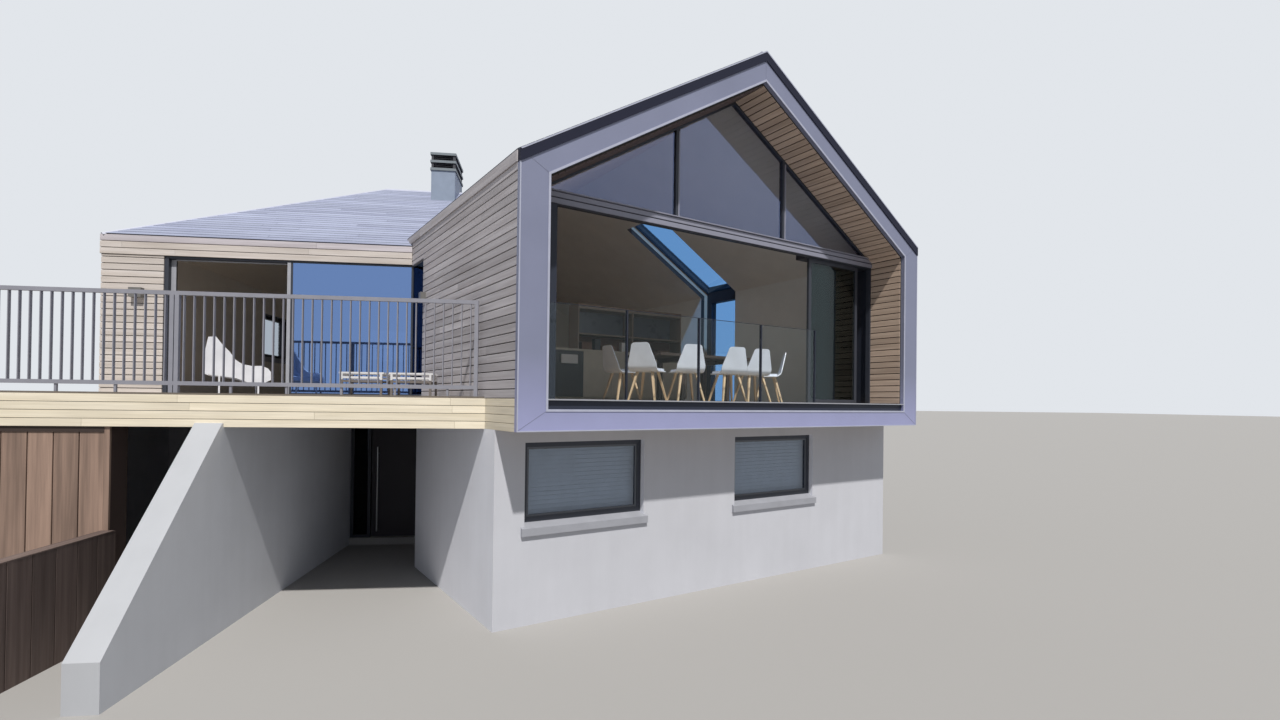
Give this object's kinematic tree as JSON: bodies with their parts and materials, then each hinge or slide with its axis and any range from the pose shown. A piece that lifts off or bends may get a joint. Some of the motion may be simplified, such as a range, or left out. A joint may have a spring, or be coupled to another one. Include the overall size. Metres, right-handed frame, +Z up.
{
  "type": "two-storey beach house with a glazed gable wing and a hipped wing",
  "caption": "Beach house: a gabled timber upper wing with an open glazed front, a hipped wing with a railed terrace, and white rendered walls below.",
  "frame": {"origin": "middle of the bounding box at the lowest ground level", "axes": "+X runs to the right along the terrace front, +Y runs to the back of the house, +Z is up"},
  "size_m": [14.6045, 15.5512, 7.8],
  "materials": {
    "render": "smooth white render",
    "buttress_render": "smooth white render",
    "plank": "weathered brown planks",
    "screed": "smooth screed",
    "dark_frame": "satin anthracite powder coat",
    "clear_glass": "clear",
    "sill_metal": "satin grey",
    "door_wood": "dark stained",
    "bare_steel": "brushed",
    "oak": "oiled oak",
    "fascia_wood": "pale larch boards",
    "deck_wood": "weathered deck boards",
    "rail_metal": "satin grey",
    "cladding": "silvered larch boards",
    "roof_wood": "silvered roof boards",
    "casing_zinc": "pre-weathered zinc",
    "dark_trim": "satin dark grey",
    "reveal_wood": "brown boards",
    "chimney_metal": "satin blue grey",
    "lamp_metal": "satin",
    "kitchen_paint": "satin cream",
    "table_wood": "dark oil",
    "chair_shell": "satin white",
    "garden_white": "smooth white",
    "garden_slats": "pale painted slats"
  },
  "bodies": {
    "house": {"lower_front_wall": "render", "lower_left_wall": "render", "lower_right_wall": "render", "lower_rear_wall": "render", "lower_end_wall": "render", "lower_back_wall": "render", "recess_pier": "render", "recess_lintel": "render", "left_buttress": "buttress_render", "plank_wall": "plank", "plank_retaining_wall": "plank", "ground_floor": "screed", "window_frames": "dark_frame", "entrance_frame": "dark_frame", "gable_window_frame": "dark_frame", "sliding_leaves": "dark_frame", "slot_frame": "dark_frame", "terrace_door_frame": "dark_frame", "window_glass": "clear_glass", "entrance_sidelight": "clear_glass", "gable_glass": "clear_glass", "sliding_glass": "clear_glass", "glass_balustrade": "clear_glass", "slot_glass": "clear_glass", "terrace_door_glass": "clear_glass", "window_sills": "sill_metal", "gable_sill": "sill_metal", "door_hinges": "bare_steel", "gable_floor": "oak", "wing_floor": "oak", "terrace_fascia": "fascia_wood", "terrace_deck": "deck_wood", "front_railing": "rail_metal", "end_railing": "rail_metal", "gable_left_wall": "cladding", "gable_right_wall": "cladding", "gable_rear_wall": "cladding", "wing_front_wall": "cladding", "wing_end_wall": "cladding", "wing_rear_wall": "cladding", "gable_roof_left": "roof_wood", "gable_roof_right": "roof_wood", "wing_roof_front": "roof_wood", "wing_roof_back": "roof_wood", "wing_roof_hip": "roof_wood", "gable_casing": "casing_zinc", "verge_trim": "dark_trim", "reveal_lining": "reveal_wood", "chimney_stack": "chimney_metal", "chimney_cowl": "chimney_metal", "wall_lamps": "lamp_metal", "kitchen_units": "kitchen_paint", "dining_table": "table_wood", "dining_chairs": "chair_shell", "lounge_chair": "garden_white", "low_tables": "garden_slats"},
    "entrance_leaf": {"entrance_door": "door_wood", "door_pull": "bare_steel"}
  },
  "joints": [
    {"name": "entrance_hinge", "type": "hinge", "parent": "house", "child": "entrance_leaf", "pos_m": [-1.17625, -0.7356, 1.2], "axis": [0, 0, -1], "range_deg": [0, 90]}
  ]
}
